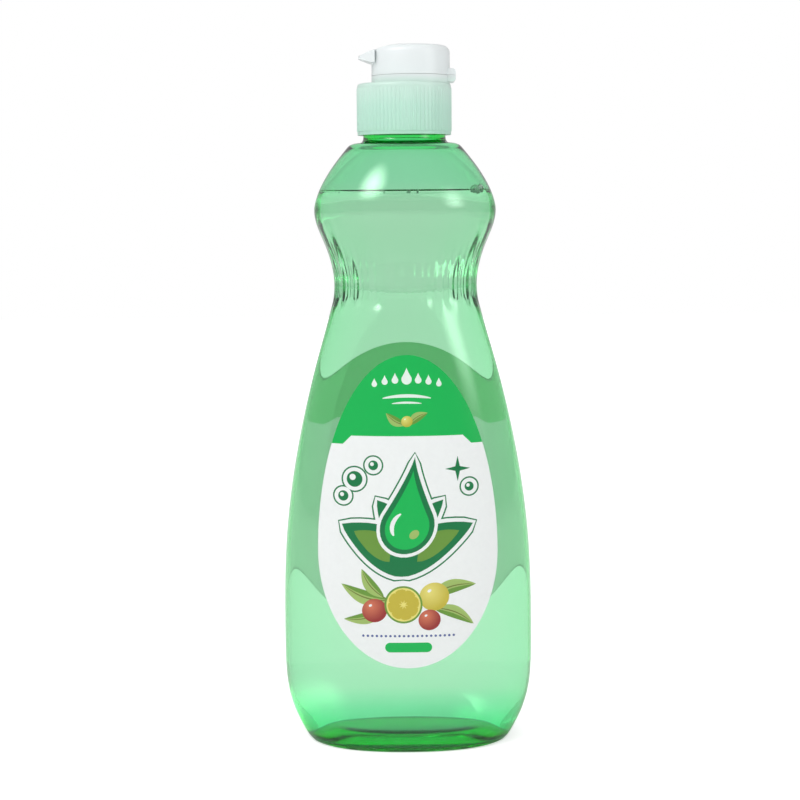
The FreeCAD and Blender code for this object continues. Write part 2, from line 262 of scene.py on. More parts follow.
plasticFinish = {
    "ior": 1.5,
    "roughness": 0.015,
    "takesPerMetre": (502.0, 29.0, 322.0),  # how fast the wall takes red, green and blue out of the light
    "levels": (  # height and tint: the blown wall is fuller and greener at its foot and shoulder
        (0.0, (0.55, 1.0, 0.93)),
        (7.0, (0.56, 0.99, 0.88)),
        (14.0, (0.97, 1.0, 1.0)),
        (40.0, (1.0, 1.0, 1.0)),
        (184.0, (1.0, 1.0, 1.0)),
        (192.0, (0.88, 1.0, 0.96)),
        (203.0, (0.86, 1.0, 0.95)),
        (208.0, (0.91, 1.0, 0.99)),
    ),
    "rippleScale": 24.0,  # slow waves that blowing leaves in the wall
    "rippleDepth": 0.6,
    "rippleDistance": 0.0006,
}
detergentFinish = {
    "ior": 1.345,
    "roughness": 0.0,
    "takesPerMetre": (1.5, 2.3, 2.5),
}


def levelColour(nodes, links, levels):  # colour that changes with height on the piece
    place = nodes.new("ShaderNodeTexCoord")
    parts = nodes.new("ShaderNodeSeparateXYZ")
    links.new(place.outputs["Object"], parts.inputs["Vector"])
    low, high = levels[0][0] * mm, levels[-1][0] * mm
    share = nodes.new("ShaderNodeMapRange")
    share.inputs["From Min"].default_value = low
    share.inputs["From Max"].default_value = high
    links.new(parts.outputs["Z"], share.inputs["Value"])
    ramp = nodes.new("ShaderNodeValToRGB")
    stops = ramp.color_ramp.elements
    for k, (height, colour) in enumerate(levels):
        along = (height * mm - low) / (high - low)
        if 0 < k < len(levels) - 1:
            stop = stops.new(along)
        else:
            stop = stops[0] if k == 0 else stops[-1]
        stop.position = along
        stop.color = (*colour, 1)
    links.new(share.outputs["Result"], ramp.inputs["Fac"])
    return ramp.outputs["Color"]


def noiseBump(nodes, links, shader, scale, strength, distance):  # fine relief from noise, returns the noise
    place = nodes.new("ShaderNodeTexCoord")
    noise = nodes.new("ShaderNodeTexNoise")
    noise.inputs["Scale"].default_value = scale
    bump = nodes.new("ShaderNodeBump")
    bump.inputs["Strength"].default_value = strength
    bump.inputs["Distance"].default_value = distance
    links.new(place.outputs["Object"], noise.inputs["Vector"])
    links.new(noise.outputs["Fac"], bump.inputs["Height"])
    links.new(bump.outputs["Normal"], shader.inputs["Normal"])
    return noise.outputs["Fac"]


def clearMaterial(name, finish):
    material, nodes, links, shader = newMaterial(name)
    shader.inputs["Base Color"].default_value = (1, 1, 1, 1)
    shader.inputs["Roughness"].default_value = finish["roughness"]
    shader.inputs["IOR"].default_value = finish["ior"]
    shader.inputs["Transmission Weight"].default_value = 1.0
    if "levels" in finish:
        links.new(levelColour(nodes, links, finish["levels"]), shader.inputs["Base Color"])
    if "rippleScale" in finish:
        noiseBump(nodes, links, shader, finish["rippleScale"], finish["rippleDepth"], finish["rippleDistance"])
    volume = nodes.new("ShaderNodeVolumeAbsorption")
    density = max(finish["takesPerMetre"]) * 1.1  # above the fastest take, so that no colour falls to 0
    volume.inputs["Density"].default_value = density
    volume.inputs["Color"].default_value = [1 - take / density for take in finish["takesPerMetre"]] + [1]
    links.new(volume.outputs["Volume"], nodes["Material Output"].inputs["Volume"])
    return material


capFinish = {
    "levels": (  # height and colour: painted see-through light, the green of the neck that would shine through the skirt is painted into its colour, fading to the lid's white above
        (206.0, (0.52, 0.85, 0.69)),
        (216.0, (0.57, 0.88, 0.74)),
        (223.5, (0.70, 0.92, 0.82)),
        (226.5, (0.89, 0.95, 0.95)),
        (236.0, (0.91, 0.955, 0.96)),
    ),
    "roughness": 0.36,
    "ior": 1.49,
    "transmission": 0.3,
    "coat": 0.6,
    "coatRoughness": 0.3,
    "grainScale": 900.0,
    "grainDepth": 0.03,
    "grainDistance": 0.0002,
}


def capMaterial():
    material, nodes, links, shader = newMaterial("capPlastic")
    # the skirt's colour holds painted see-through light: the neck's green behind it, painted in
    links.new(levelColour(nodes, links, capFinish["levels"]), shader.inputs["Base Color"])
    shader.inputs["Roughness"].default_value = capFinish["roughness"]
    shader.inputs["IOR"].default_value = capFinish["ior"]
    shader.inputs["Transmission Weight"].default_value = capFinish["transmission"]
    shader.inputs["Coat Weight"].default_value = capFinish["coat"]
    shader.inputs["Coat Roughness"].default_value = capFinish["coatRoughness"]
    finish = capFinish
    noiseBump(nodes, links, shader, finish["grainScale"], finish["grainDepth"], finish["grainDistance"])
    return material


sealFinish = {
    "colour": (0.9, 0.91, 0.9),
    "roughness": 0.62,
    "darkest": 0.9,  # shade at the bottom of the grain
    "grainScale": 2600.0,
    "grainDepth": 0.3,
    "grainDistance": 0.0002,
}


def sealMaterial():
    finish = sealFinish
    material, nodes, links, shader = newMaterial("sealFoam")
    shader.inputs["Roughness"].default_value = finish["roughness"]
    grain = noiseBump(nodes, links, shader, finish["grainScale"], finish["grainDepth"], finish["grainDistance"])
    shade = nodes.new("ShaderNodeMapRange")
    shade.inputs["To Min"].default_value = finish["darkest"]
    links.new(grain, shade.inputs["Value"])
    tone = nodes.new("ShaderNodeVectorMath")
    tone.operation = "SCALE"
    tone.inputs[0].default_value = finish["colour"]
    links.new(shade.outputs["Result"], tone.inputs["Scale"])
    links.new(tone.outputs["Vector"], shader.inputs["Base Color"])
    return material


bottlePlastic = clearMaterial("bottlePlastic", plasticFinish)
detergentLiquid = clearMaterial("detergentLiquid", detergentFinish)
capPlastic = capMaterial()
print("materials ready")

# The bottle
neckForm = {
    "outside": (  # radius and height up the collar and the neck
        (18.4, 204.0), (16.1, 204.3), (14.6, 204.3), (14.0, 205.1), (13.8, 205.9), (13.8, 207.4),
        (13.8, 208.3), (13.6, 208.4), (12.8, 208.4), (12.5, 208.6), (12.5, 209.8), (12.5, 214.0),
        (12.5, 218.0), (12.5, 220.4), (12.5, 221.1), (12.3, 221.3), (11.7, 221.3), (11.0, 221.3),
    ),
    "inside": (  # down the bore to the roof of the shoulder
        (10.8, 221.1), (10.8, 220.4), (10.8, 216.0), (10.8, 211.0), (10.8, 206.5), (10.8, 204.5),
        (11.2, 203.7), (12.2, 203.5), (16.1, 203.5), (17.6, 203.2),
    ),
}
threadForm = {
    "root": 12.2, "crest": 13.7, "pitch": 4.233, "turns": 1.5, "start": 212.4,
    "baseWidth": 2.3, "crestWidth": 1.1, "edgeDrop": 0.2, "edgeSpread": 0.1, "stepsPerTurn": 90,
    "fadeTurns": 0.06, "leastFade": 0.004,  # both ends sink into the neck
}


def threadMesh(form):
    steps = round(form["turns"] * form["stepsPerTurn"])
    crestHalf, drop, least = form["crestWidth"] / 2, form["edgeDrop"], form["leastFade"]
    rings = []
    for i in range(steps + 1):
        along = i / form["stepsPerTurn"]
        fade = min(1.0, (along + least) / form["fadeTurns"], (form["turns"] - along + least) / form["fadeTurns"])
        crest = form["root"] + (form["crest"] - form["root"]) * math.sqrt(fade)
        middle = form["start"] + along * form["pitch"]
        turn = 2 * math.pi * along
        section = (
            (form["root"], -form["baseWidth"] / 2),
            (crest - drop, -crestHalf - form["edgeSpread"]),
            (crest, -crestHalf + drop),
            (crest, crestHalf - drop),
            (crest - drop, crestHalf + form["edgeSpread"]),
            (form["root"], form["baseWidth"] / 2),
        )
        rings.append([(r * math.cos(turn), r * math.sin(turn), middle + z) for r, z in section])
    points = np.array(rings).reshape(-1, 3) * mm
    side = len(rings[0])
    faces = [tuple(range(side)), tuple(range(steps * side, steps * side + side))[::-1]]
    for i in range(steps):
        for j in range(side):
            k = (j + 1) % side
            faces.append((i * side + j, (i + 1) * side + j, (i + 1) * side + k, i * side + k))
    return points, faces


def makeBottle():
    form = bottleForm
    ledge = form["stations"][-1][0]
    outside = bodyRows(0.0, 0.0, ledge) + roundRows(neckForm["outside"])
    inside = roundRows(neckForm["inside"]) + bodyRows(form["wall"], form["baseWall"], ledge, 1.0)[::-1]
    rings = sweepRows(outside + inside, form["meshStep"])
    mesh = ringsToMesh("bottle", rings)
    threadPoints, threadFaces = threadMesh(threadForm)
    ridge = bpy.data.meshes.new("neckThread")
    ridge.from_pydata(threadPoints.tolist(), [], threadFaces)
    joined = joinMeshes("bottle", [mesh, ridge])
    piece = addPiece("blownBottle", joined, bottlePlastic)
    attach(piece, "bottle")
    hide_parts("bottle")
    return piece


def joinMeshes(name, meshes):
    points, faces, smooth = [], [], []
    for mesh in meshes:
        start = len(points)
        points += [tuple(v.co) for v in mesh.vertices]
        faces += [tuple(start + i for i in p.vertices) for p in mesh.polygons]
        smooth += [p.use_smooth for p in mesh.polygons]
    joined = bpy.data.meshes.new(name)
    joined.from_pydata(points, [], faces)
    joined.polygons.foreach_set("use_smooth", smooth)
    joined.update()
    return joined


bottlePiece = makeBottle()
print("bottle", len(bottlePiece.data.polygons), "faces")

# The filling
fillingForm = {
    "level": 187.8,
    "intoWall": 0.3,  # so that light meets no air between liquid and wall
    "meniscus": ((0.0, 1.0), (0.35, 0.95), (0.7, 0.62), (1.4, 0.3), (2.6, 0.1), (4.5, 0.0), (7.0, 0.0)),
    "topShares": (0.6, 0.35, 0.15),
    "rimDrops": (0.35, 0.05),  # the rows under the crest of the meniscus
    "rimInset": 0.03,
    "meshStep": 1.3,
}


def makeDetergent():
    form = bottleForm
    inset = form["wall"] - fillingForm["intoWall"]
    floor = form["baseWall"] - fillingForm["intoWall"]
    crest = fillingForm["level"] + fillingForm["meniscus"][0][1]
    lower, upper = fillingForm["rimDrops"]
    rows = bodyRows(inset, floor, crest - lower, 1.0)
    size, slope = bodyProfile(fillingForm["level"])
    edgeX = size[0] - inset * math.hypot(1.0, slope[0])
    edgeY = size[1] - inset * math.hypot(1.0, slope[1])
    rows.append(levelRing(edgeX, edgeY, 2.0, crest - upper))
    rows.append(levelRing(edgeX - fillingForm["rimInset"], edgeY - fillingForm["rimInset"], 2.0, crest))
    for into, rise in fillingForm["meniscus"]:
        into += fillingForm["intoWall"]
        rows.append(levelRing(edgeX - into, edgeY - into, 2.0, fillingForm["level"] + rise))
    for share in fillingForm["topShares"] + (0.0,):
        rows.append(levelRing(edgeX * share, edgeY * share, 2.0, fillingForm["level"]))
    mesh = ringsToMesh("detergent", sweepRows(rows, fillingForm["meshStep"]))
    piece = addPiece("detergentFilling", mesh, detergentLiquid)
    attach(piece, "bottle")
    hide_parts("detergent")
    return piece


detergentPiece = makeDetergent()
print("detergent", len(detergentPiece.data.polygons), "faces")

# Bubbles that rest on the filling
foamForm = {
    "seed": 5,
    "clusters": (  # count, from and to angle, smallest and largest radius
        (9, -45.0, -27.0, 0.6, 1.8),
        (34, 0.0, 360.0, 0.15, 0.5),
        (5, -34.0, -24.0, 0.4, 1.1),
    ),
    "lifts": (0.45, 0.1, 2.3),  # how high each cluster rides, in radii
    "sizePower": 2.2,  # above 1 there are more small bubbles than large ones
    "offWall": 0.15,
    "detail": 3,
}
foamFinish = {
    "ior": 1.14,  # a thin film bends light much less than a full ball would
    "roughness": 0.02,
    "rippleScale": 800.0,
    "rippleDepth": 0.1,
    "rippleDistance": 0.0001,
}


def foamMaterial():
    finish = foamFinish
    material, nodes, links, shader = newMaterial("foamFilm")
    shader.inputs["Roughness"].default_value = finish["roughness"]
    shader.inputs["IOR"].default_value = finish["ior"]
    shader.inputs["Transmission Weight"].default_value = 1.0
    shader.inputs["Base Color"].default_value = (1, 1, 1, 1)
    noiseBump(nodes, links, shader, finish["rippleScale"], finish["rippleDepth"], finish["rippleDistance"])
    return material


def mathNode(tree, operation, first, second):
    node = tree.nodes.new("ShaderNodeMath")
    node.operation = operation
    for socket, value in zip(node.inputs, (first, second)):
        if isinstance(value, (int, float)):
            socket.default_value = value
        elif value is not None:
            tree.links.new(value, socket)
    return node.outputs[0]


def randomNode(tree, low, high, seed):
    node = tree.nodes.new("FunctionNodeRandomValue")
    node.inputs["Seed"].default_value = seed
    for socket, value in ((node.inputs[2], low), (node.inputs[3], high)):
        if isinstance(value, (int, float)):
            socket.default_value = value
        else:
            tree.links.new(value, socket)
    return node.outputs[1]


foamInputs = (
    "Count", "From Angle", "To Angle", "Half Width", "Half Depth", "Level", "Smallest", "Largest", "Lift",
)


def foamTree(material):  # spheres of random size along part of an oval
    tree = bpy.data.node_groups.new("foamOnFilling", "GeometryNodeTree")
    for name in foamInputs:
        kind = "NodeSocketInt" if name == "Count" else "NodeSocketFloat"
        tree.interface.new_socket(name=name, in_out="INPUT", socket_type=kind)
    tree.interface.new_socket(name="Geometry", in_out="OUTPUT", socket_type="NodeSocketGeometry")
    given = tree.nodes.new("NodeGroupInput").outputs
    points = tree.nodes.new("GeometryNodePoints")
    tree.links.new(given["Count"], points.inputs["Count"])
    degrees = randomNode(tree, given["From Angle"], given["To Angle"], foamForm["seed"])
    turn = mathNode(tree, "RADIANS", degrees, None)
    chance = mathNode(tree, "POWER", randomNode(tree, 0.0, 1.0, foamForm["seed"] + 1), foamForm["sizePower"])
    spanned = mathNode(tree, "SUBTRACT", given["Largest"], given["Smallest"])
    radius = mathNode(tree, "ADD", given["Smallest"], mathNode(tree, "MULTIPLY", spanned, chance))
    across = mathNode(tree, "SUBTRACT", given["Half Width"], radius)
    deep = mathNode(tree, "SUBTRACT", given["Half Depth"], radius)
    spot = tree.nodes.new("ShaderNodeCombineXYZ")
    tree.links.new(mathNode(tree, "MULTIPLY", across, mathNode(tree, "COSINE", turn, None)), spot.inputs["X"])
    tree.links.new(mathNode(tree, "MULTIPLY", deep, mathNode(tree, "SINE", turn, None)), spot.inputs["Y"])
    lift = mathNode(tree, "MULTIPLY", radius, given["Lift"])
    tree.links.new(mathNode(tree, "ADD", given["Level"], lift), spot.inputs["Z"])
    tree.links.new(spot.outputs["Vector"], points.inputs["Position"])
    ball = tree.nodes.new("GeometryNodeMeshIcoSphere")
    ball.inputs["Radius"].default_value = 1.0
    ball.inputs["Subdivisions"].default_value = foamForm["detail"]
    placed = tree.nodes.new("GeometryNodeInstanceOnPoints")
    tree.links.new(points.outputs[0], placed.inputs["Points"])
    tree.links.new(ball.outputs["Mesh"], placed.inputs["Instance"])
    tree.links.new(radius, placed.inputs["Scale"])
    last = placed
    for kind in ("GeometryNodeRealizeInstances", "GeometryNodeSetShadeSmooth", "GeometryNodeSetMaterial"):
        node = tree.nodes.new(kind)
        tree.links.new(last.outputs[0], node.inputs[0])
        last = node
    last.inputs["Material"].default_value = material
    tree.links.new(last.outputs[0], tree.nodes.new("NodeGroupOutput").inputs[0])
    return tree


def makeFoam():
    tree = foamTree(foamMaterial())
    sockets = {item.name: item.identifier for item in tree.interface.items_tree if item.in_out == "INPUT"}
    size, slope = bodyProfile(fillingForm["level"])
    inset = bottleForm["wall"] * math.hypot(1.0, slope[0]) + foamForm["offWall"]
    meshes = []
    for (count, start, end, smallest, largest), lift in zip(foamForm["clusters"], foamForm["lifts"]):
        carrier = addPiece("foamCarrier", bpy.data.meshes.new("foamCarrier"))
        modifier = carrier.modifiers.new("foam", "NODES")
        modifier.node_group = tree
        halfWidth, halfDepth = float(size[0] - inset) * mm, float(size[1] - inset) * mm
        level = fillingForm["level"] * mm
        values = (count, start, end, halfWidth, halfDepth, level, smallest * mm, largest * mm, lift)
        for name, value in zip(foamInputs, values):
            modifier[sockets[name]] = value
        carrier.update_tag()
        evaluated = carrier.evaluated_get(bpy.context.evaluated_depsgraph_get())
        meshes.append(bpy.data.meshes.new_from_object(evaluated))
        carrier.modifiers.remove(modifier)
        bpy.data.objects.remove(carrier)
    material = meshes[0].materials[0]
    piece = addPiece("foamBubbles", joinMeshes("foamBubbles", meshes), material)
    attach(piece, "bottle")
    return piece


foamPiece = makeFoam()
print("foam", len(foamPiece.data.polygons), "faces")

# Printed film labels, front and rear
inks = {  # red, green and blue as they look, 0 to 255
    "white": (246, 248, 248),
    "green": (0, 190, 88),
    "deep": (0, 126, 70),
    "leaf": (112, 158, 62),
    "leafPale": (168, 196, 110),
    "stalk": (120, 130, 60),
    "lime": (204, 188, 66),
    "limePale": (238, 228, 130),
    "berry": (158, 46, 48),
    "berryPale": (222, 128, 96),
    "blue": (84, 100, 158),
    "backWhite": (252, 253, 252),
    "backGreen": (90, 250, 150),
}
labelForm = {
    "centre": 69.5,  # height of the widest level of the egg
    "lower": 38.5,
    "upper": 65.5,
    "halfWidth": 29.9,
    "adhesive": 0.05,
    "film": 0.15,
    "grid": 1.5,  # spacing of the points inside the outlines
    "rowShare": 0.87,  # spacing of their rows, as a share of it
    "skinStep": 1.3,
    "castFrom": 80,  # a point in front of the body, from which each point is laid on it
    "fieldEdge": 105.6,  # the green field starts at this height
    "stepWidth": 18.4,  # half width of the white step that stands into it
    "stepRise": 2.8,
}


def linear(colour):  # from the colour as it looks to the amount of light
    share = np.array(colour, float) / 255
    return np.where(share <= 0.04045, share / 12.92, ((share + 0.055) / 1.055) ** 2.4)


def oval(x, z, radius, flat=1.0, turn=0.0, count=40):
    around = np.arange(count) * 2 * math.pi / count
    across, up = radius * np.cos(around), radius * flat * np.sin(around)
    c, s = math.cos(math.radians(turn)), math.sin(math.radians(turn))
    return np.stack([x + c * across - s * up, z + s * across + c * up], axis=1)


def spindle(x, z, length, width, turn, count=14):  # leaf outline from its stalk at x, z
    along = np.linspace(0, 1, count)
    half = width / 2 * np.sin(math.pi * along) ** 0.8 * (1.15 - 0.3 * along)
    bend = 0.1 * length * np.sin(math.pi * along)
    upper = np.stack([along * length, bend + half], axis=1)
    lower = np.stack([along * length, bend - half], axis=1)[-2:0:-1]
    c, s = math.cos(math.radians(turn)), math.sin(math.radians(turn))
    both = np.vstack([upper, lower])
    return both @ np.array([[c, s], [-s, c]]) + (x, z)


def sparkle(x, z, reach, slim=0.16):  # four-pointed star with hollow sides
    points = []
    for k in range(8):
        turn = k * math.pi / 4
        radius = reach if k % 2 == 0 else reach * slim * 1.6
        points.append((x + radius * math.sin(turn), z + radius * math.cos(turn)))
    return np.array(points)


def ribbon(line, width):  # band along a line, drawn to a point at both ends
    line = np.array(line, float)
    run = np.gradient(line, axis=0)
    run /= np.linalg.norm(run, axis=1)[:, None]
    aside = np.stack([-run[:, 1], run[:, 0]], axis=1)
    half = width / 2 * np.sin(np.linspace(0.06, math.pi - 0.06, len(line)))[:, None] ** 0.5
    return np.vstack([line + aside * half, (line - aside * half)[::-1]])


def arcLine(x, z, radius, start, end, count=22):
    turns = np.radians(np.linspace(start, end, count))
    return np.stack([x + radius * np.cos(turns), z + radius * np.sin(turns)], axis=1)


def pill(x, z, halfWidth, halfHeight, count=12):
    right = arcLine(x + halfWidth - halfHeight, z, halfHeight, -90, 90, count)
    left = arcLine(x - halfWidth + halfHeight, z, halfHeight, 90, 270, count)
    return np.vstack([right, left])


def grown(outline, by):  # the same outline, wider all round
    before, after = np.roll(outline, 1, axis=0), np.roll(outline, -1, axis=0)
    run = after - before
    run /= np.linalg.norm(run, axis=1)[:, None] + 1e-9
    area = np.sum(outline[:, 0] * after[:, 1] - after[:, 0] * outline[:, 1])
    return outline + np.sign(area) * by * np.stack([run[:, 1], -run[:, 0]], axis=1)


def eggOutline(count=150):
    form = labelForm
    turns = np.arange(count) * 2 * math.pi / count
    rise = np.where(np.cos(turns) > 0, form["upper"], form["lower"]) * np.cos(turns)
    return np.stack([-form["halfWidth"] * np.sin(turns), form["centre"] + rise], axis=1)


def fieldShapes():
    form = labelForm
    edge, step, rise, far = form["fieldEdge"], form["stepWidth"], form["stepRise"], 2 * form["halfWidth"]
    top = form["centre"] + form["upper"] + 1
    outline = [(-far, edge), (-step - rise, edge), (-step, edge + rise), (step, edge + rise)]
    outline += [(step + rise, edge), (far, edge), (far, top), (-far, top)]
    return [(np.array(outline), "green")]


def berry(x, z, radius, ink, pale):
    glow = ((x - radius * 0.3, z + radius * 0.35), radius * 1.25, pale)
    shapes = [(oval(x, z, radius * share, 0.94, 20), ink, glow) for share in (1.0, 0.75, 0.5, 0.25)]
    shapes.append((oval(x - radius * 0.32, z + radius * 0.4, radius * 0.14, 0.7, 30, 16), "white"))
    return shapes


def leafShapes(x, z, length, width, turn):
    whole = spindle(x, z, length, width, turn)
    half = np.vstack([whole[:14], whole[13:0:-1] * 0.35 + whole[13:26] * 0.65])
    c, s = math.cos(math.radians(turn)), math.sin(math.radians(turn))
    along = np.linspace(-0.1, 0.92, 16)
    rib = np.stack([along * length, 0.1 * length * np.sin(math.pi * np.clip(along, 0, 1))], axis=1)
    rib = rib @ np.array([[c, s], [-s, c]]) + (x, z)
    return [(whole, "leaf"), (half, "leafPale"), (ribbon(rib, width * 0.09), "stalk")]


def citrus(x, z, radius):
    core = [(0.1, 0), (0.5, 0.29), (0.74, 0.27), (0.82, 0.12), (0.82, -0.12), (0.74, -0.27), (0.5, -0.29)]
    shapes = [(oval(x, z, radius), "leaf"), (oval(x, z, radius * 0.9), "limePale")]
    for k in range(8):
        turn = math.radians(k * 45 + 12)
        c, s = math.cos(turn), math.sin(turn)
        shapes.append((np.array(core) @ np.array([[c, s], [-s, c]]) * radius + (x, z), "lime"))
    return shapes


crestForm = {
    "outerEdge": 1.75,
    "whiteEdge": 1.25,
    "lean": 0.12,
    "leanFrom": 80.0,  # height at which the lean moves nothing
}


def outlined(outlines, ink="deep"):  # a group of outlines in one ink, with a white and a thin outer edge
    shapes = [(grown(outline, crestForm["outerEdge"]), ink) for outline in outlines]
    shapes += [(grown(outline, crestForm["whiteEdge"]), "white") for outline in outlines]
    return shapes + [(outline, ink) for outline in outlines]


def slanted(outline):  # leaned to the right, as the whole crest leans
    lean = crestForm["lean"] * (outline[:, 1] - crestForm["leanFrom"])
    return np.stack([outline[:, 0] + lean, outline[:, 1]], axis=1)


def mirrored(outline):
    return outline * (-1, 1)


def drop(x, z, radius, height, count=22):  # a drop with its point up, z at the middle of its round end
    turns = np.radians(np.linspace(-205, 25, count))
    roundEnd = np.stack([radius * np.cos(turns), radius * np.sin(turns)], axis=1)
    up = np.linspace(0, 1, 9)[1:]
    side = radius * math.cos(math.radians(25)) * (1 - up) ** 1.25
    rise = radius * math.sin(math.radians(25)) + (height - radius * 1.42) * up
    right = np.stack([side, rise], axis=1)
    return np.vstack([roundEnd, right, mirrored(right)[-2::-1]]) + (x, z)


def crestShapes():  # a drop between sweeping leaves
    leaves = [spindle(-0.4, 62.0, 28.0, 12.0, 38), spindle(0.0, 66.0, 24.0, 9.4, 63)]
    leaves += [mirrored(leaf) for leaf in leaves]
    tear = drop(0.0, 78.5, 9.0, 32.0)
    shapes = outlined([slanted(outline) for outline in leaves + [tear]])
    for k, leaf in enumerate(leaves):
        middle = leaf.mean(axis=0)
        shift = (0.8 - 1.6 * (k > 1), 0.8)  # the lighter part lies towards the drop
        shapes += [(slanted(middle + (leaf - middle) * 0.58 + shift), ("leaf", "green")[k % 2])]
    shapes += [(slanted(grown(tear, 1.1)), "white"), (slanted(tear), "deep")]
    shapes += [(slanted(drop(0.0, 78.3, 7.3, 26.0)), "green")]
    shapes += [(slanted(ribbon(arcLine(0.0, 78.5, 5.0, 120, 215), 1.5)), "white")]
    shapes += [(slanted(oval(2.6, 76.0, 1.7, 0.8, 40, 24)), "leafPale")]
    return shapes


def frontPrint():
    shapes = fieldShapes()
    # a row of drops over two thin lines, on the green field
    for x, lift, radius in ((-10.6, 0.0, 0.9), (-7.2, 0.8, 1.0), (-3.8, 1.3, 1.1), (0.0, 1.6, 1.7)):
        for side in (-1, 1) if x else (1,):
            shapes += [(drop(-x * side, 125.4 + lift, radius, radius * 3.3, 14), "white")]
    shapes += [(ribbon(arcLine(0, 82, 39.6, 78.5, 101.5), 1.1), "white")]
    shapes += [(ribbon(arcLine(0, 82, 37.4, 82.5, 97.5), 0.7), "white")]
    # a sprig under it
    shapes += leafShapes(-0.5, 112.0, 7.5, 3.0, 148) + leafShapes(0.5, 112.0, 7.5, 3.0, 32)
    shapes += berry(0.0, 113.2, 1.9, "lime", "limePale")
    # the crest in the middle of the label, with rising bubbles
    bubbles = ((-21.2, 88.6, 1.7), (-17.4, 94.2, 2.6), (-11.2, 98.8, 1.6), (20.4, 91.4, 1.5))
    shapes += outlined([oval(*bubble, count=28) for bubble in bubbles])
    for x, z, radius in bubbles:
        shapes += [(oval(x - radius * 0.25, z + radius * 0.25, radius * 0.4, count=18), "white")]
    shapes += [(sparkle(16.6, 97.4, 4.2), "deep")]
    shapes += crestShapes()
    # fruit
    shapes += leafShapes(-6.0, 54.0, 17.0, 4.8, 162) + leafShapes(7.0, 55.0, 16.0, 4.6, 14)
    shapes += leafShapes(-7.0, 51.5, 15.0, 4.0, 196) + leafShapes(8.0, 51.5, 15.0, 4.2, -24)
    shapes += leafShapes(-8.0, 55.0, 12.0, 4.0, 128)
    shapes += berry(8.6, 55.2, 5.0, "lime", "limePale") + berry(-11.2, 50.6, 4.2, "berry", "berryPale")
    shapes += berry(7.0, 47.4, 3.7, "berry", "berryPale")
    shapes += citrus(-1.6, 52.6, 6.3)
    # a dotted rule and a plain pill under the fruit
    shapes += [(oval(x, 42.0, 0.42, count=12), "blue") for x in np.arange(-15, 15.1, 1.5)]
    shapes += [(pill(0.0, 38.1, 7.8, 1.65), "green")]
    return shapes


def rearPrint():
    shapes = fieldShapes()
    shapes += [(sparkle(0.0, 120.0, 4.6), "white"), (sparkle(7.6, 114.4, 2.4), "white")]
    shapes += [(oval(-7.4, 115.6, 1.8), "white"), (oval(-7.4, 115.6, 1.1), "green")]
    for x, ink in ((-15.0, "deep"), (0.0, "green"), (15.0, "deep")):
        shapes += [(oval(x, 93.0, 5.6), ink), (oval(x, 93.0, 4.7), "white")]
    shapes += [(oval(-15.0, 93.0, 3.2), "deep"), (oval(-15.0, 93.0, 2.4), "white")]
    shapes += [(oval(0.0, 91.8, 2.3), "green"), (sparkle(0.0, 95.6, 2.4), "green")]
    shapes += [(spindle(11.6, 91.2, 7.4, 3.4, 26), "deep")]
    for k in range(6):
        z = 82.0 - 3.6 * k
        shapes += [(pill(0.0, z, 22.0 - 0.5 * k, 0.3, 6), "deep")]
    shapes += leafShapes(-1.0, 50.0, 12.0, 4.0, 160) + leafShapes(1.0, 50.0, 12.0, 4.0, 20)
    shapes += berry(0.0, 51.0, 3.6, "lime", "limePale")
    shapes += [(pill(0.0, 40.2, 8.6, 1.7), "green")]
    return shapes


def divided(outline, longest):  # the same outline with points along its long edges, so that they follow the body
    points = []
    for start, end in zip(outline, np.roll(outline, -1, axis=0)):
        pieces = max(1, math.ceil(np.linalg.norm(end - start) / longest))
        points += [start + (end - start) * k / pieces for k in range(pieces)]
    return np.array(points)


def inside(outline, places):
    x, z = places[:, 0], places[:, 1]
    within = np.zeros(len(places), bool)
    for (x1, z1), (x2, z2) in zip(outline, np.roll(outline, -1, axis=0)):
        if z1 != z2:
            within ^= ((z1 > z) != (z2 > z)) & (x < x1 + (z - z1) * (x2 - x1) / (z2 - z1))
    return within


def skinTree(inset):  # the body's surface, moved out by a little, to lay points on
    rows = bodyRows(-inset, 0.0, bottleForm["stations"][-1][0])[6:]  # without the middle of the base
    rings = sweepRows(rows, labelForm["skinStep"])
    count = rings.shape[1]
    faces = [
        (i * count + j, i * count + (j + 1) % count, (i + 1) * count + (j + 1) % count, (i + 1) * count + j)
        for i in range(len(rings) - 1)
        for j in range(count)
    ]
    return BVHTree.FromPolygons([Vector(p) for p in rings.reshape(-1, 3)], faces)


def skinNormal(x, y, z):
    size, slope = bodyProfile(z)
    shares = (abs(x / size[0]) ** size[2], abs(y / size[1]) ** size[2])
    across = Vector((shares[0] / x if x else 0.0, shares[1] / y if y else 0.0, 0.0))
    across.z = -shares[0] * slope[0] / size[0] - shares[1] * slope[1] / size[1]
    return across.normalized()


def labelColours(shapes, corners, inkOf):  # a colour for each corner of each triangle
    plain = [linear(inks["white"])] + [linear(inks[shape[1]]) for shape in shapes]
    colours = np.array(plain)[inkOf][:, None, :].repeat(3, axis=1)
    for k, shape in enumerate(shapes):
        if len(shape) < 3 or not (inkOf == k + 1).any():
            continue
        at, reach, pale = shape[2]
        mine = inkOf == k + 1
        share = np.clip(1 - np.linalg.norm(corners[mine] - at, axis=2) / reach, 0, 1)[:, :, None]
        colours[mine] = colours[mine] * (1 - share) + linear(inks[pale]) * share
    return colours


